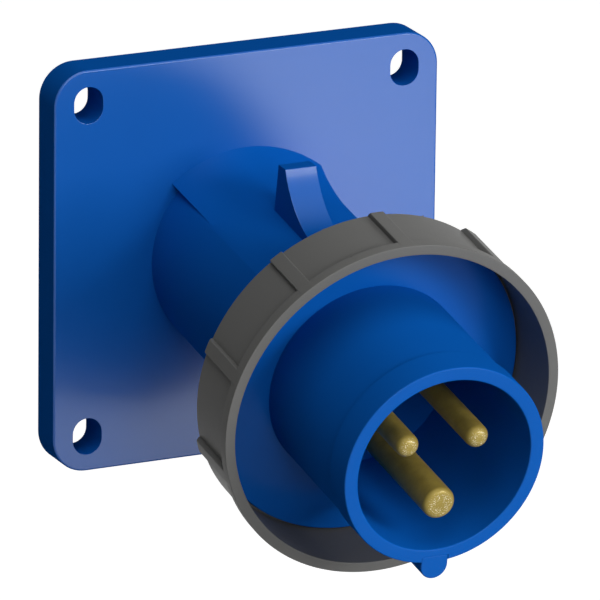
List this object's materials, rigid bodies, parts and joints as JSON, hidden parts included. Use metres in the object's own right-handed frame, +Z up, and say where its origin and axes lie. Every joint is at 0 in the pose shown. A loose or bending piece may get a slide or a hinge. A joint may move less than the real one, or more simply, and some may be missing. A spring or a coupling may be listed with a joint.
{
  "type": "angled appliance inlet",
  "caption": "Angled panel inlet for mains power: a square flange with a tilted hollow neck, a round pin shroud with a key, and a turning locking ring.",
  "frame": {"origin": "centre of the flange's rear face, in the plane of the panel", "axes": "+X to the right seen from the front, +Y into the panel, +Z up; the shroud's axis leaves towards -Y and tips down by 10.2 degrees"},
  "size_m": [0.088, 0.1086, 0.0935],
  "materials": {
    "housing_blue": "moulded, satin gloss",
    "gasket_rubber": "matt",
    "ring_grey": "moulded, fine satin",
    "carrier_black": "moulded, matt",
    "contact_brass": "turned, dull",
    "screw_steel": "zinc plated"
  },
  "bodies": {
    "inlet": {"flange_housing": "housing_blue", "panel_gasket": "gasket_rubber", "shroud": "housing_blue", "shroud_seal": "gasket_rubber", "contact_carrier": "carrier_black", "earth_pin": "contact_brass", "earth_pin_seal": "gasket_rubber", "earth_clamp_screw": "screw_steel", "earth_pressure_plate": "screw_steel", "line_pin": "contact_brass", "line_pin_seal": "gasket_rubber", "line_clamp_screw": "screw_steel", "line_pressure_plate": "screw_steel", "neutral_pin": "contact_brass", "neutral_pin_seal": "gasket_rubber", "neutral_clamp_screw": "screw_steel", "neutral_pressure_plate": "screw_steel", "tie_screw_top": "screw_steel", "tie_screw_left": "screw_steel", "tie_screw_right": "screw_steel"},
    "ring": {"locking_ring": "ring_grey"}
  },
  "joints": [
    {"name": "ring_turn", "type": "hinge", "parent": "inlet", "child": "ring", "pos_m": [0, -0.0082, 0], "axis": [0, 0.9842, 0.1771], "range_deg": [0, 50]}
  ]
}
